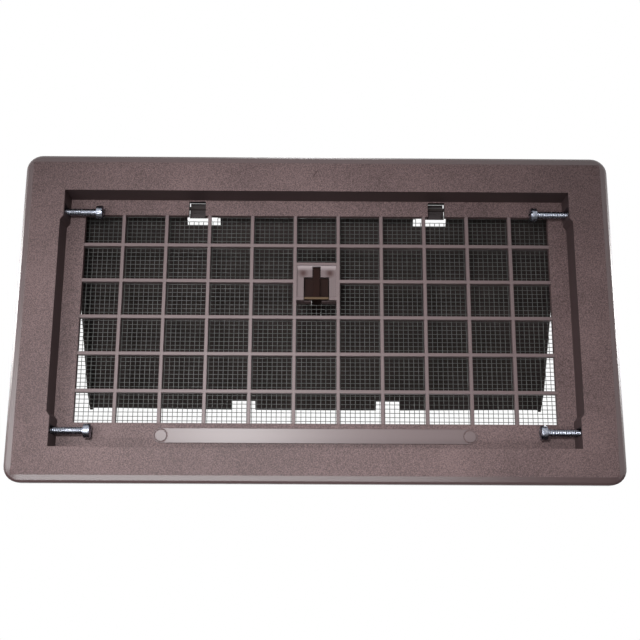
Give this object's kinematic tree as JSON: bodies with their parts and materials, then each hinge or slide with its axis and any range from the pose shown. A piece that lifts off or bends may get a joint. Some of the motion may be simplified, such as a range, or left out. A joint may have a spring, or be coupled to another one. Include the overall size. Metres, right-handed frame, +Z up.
{
  "type": "foundation vent",
  "caption": "Rectangular wall vent: wide bevelled flange, recessed bar grille with insect screen, swinging damper behind, pull arm in a keyhole and screws in the side walls.",
  "frame": {"origin": "middle of the flange rim's lower rear edge, on the wall plane, half a wall thickness above the flange's lowest edge", "axes": "+X to the right along the flange seen from the room side, +Y into the wall, normal to the wall plane, +Z up"},
  "size_m": [0.4328, 0.1243, 0.2421],
  "materials": {
    "brown_moulded_plastic": "fine moulded grain",
    "dark_moulded_plastic": "fine moulded grain",
    "dark_arm_plastic": "smooth moulded",
    "grey_screen_wire": "drawn wire, woven",
    "bimetal_strip": "rolled strip",
    "zinc_plated_steel": "bright zinc plating"
  },
  "bodies": {
    "frame": {"vent_body": "brown_moulded_plastic", "insect_screen": "grey_screen_wire"},
    "damper": {"damper": "dark_moulded_plastic", "coil_pin": "zinc_plated_steel"},
    "coil": {"thermostat_coil": "bimetal_strip"},
    "arm": {"control_arm": "dark_arm_plastic"},
    "screw_top_left": {"screw_top_left": "zinc_plated_steel"},
    "screw_top_right": {"screw_top_right": "zinc_plated_steel"},
    "screw_bottom_left": {"screw_bottom_left": "zinc_plated_steel"},
    "screw_bottom_right": {"screw_bottom_right": "zinc_plated_steel"}
  },
  "joints": [
    {"name": "damper_swing", "type": "hinge", "parent": "frame", "child": "damper", "pos_m": [0, 0.019, 0.20905], "axis": [1, 0, 0], "range_deg": [-32, 0]},
    {"name": "coil_leg", "type": "hinge", "parent": "damper", "child": "coil", "pos_m": [0, 0.05493, 0.1874], "axis": [1, 0, 0], "range_deg": [0, 56]},
    {"name": "arm_pull", "type": "slide", "parent": "frame", "child": "arm", "axis": [0, -1, 0], "range_m": [0, 0.015]},
    {"name": "screw_top_left_drive", "type": "slide", "parent": "frame", "child": "screw_top_left", "axis": [-1, 0, 0], "range_m": [0, 0.0205]},
    {"name": "screw_top_right_drive", "type": "slide", "parent": "frame", "child": "screw_top_right", "axis": [1, 0, 0], "range_m": [0, 0.0205]},
    {"name": "screw_bottom_left_drive", "type": "slide", "parent": "frame", "child": "screw_bottom_left", "axis": [-1, 0, 0], "range_m": [0, 0.0205]},
    {"name": "screw_bottom_right_drive", "type": "slide", "parent": "frame", "child": "screw_bottom_right", "axis": [1, 0, 0], "range_m": [0, 0.0205]}
  ],
  "couplings": [
    {"joint": "coil_leg", "follows": "damper_swing", "ratio": -1.7407}
  ]
}
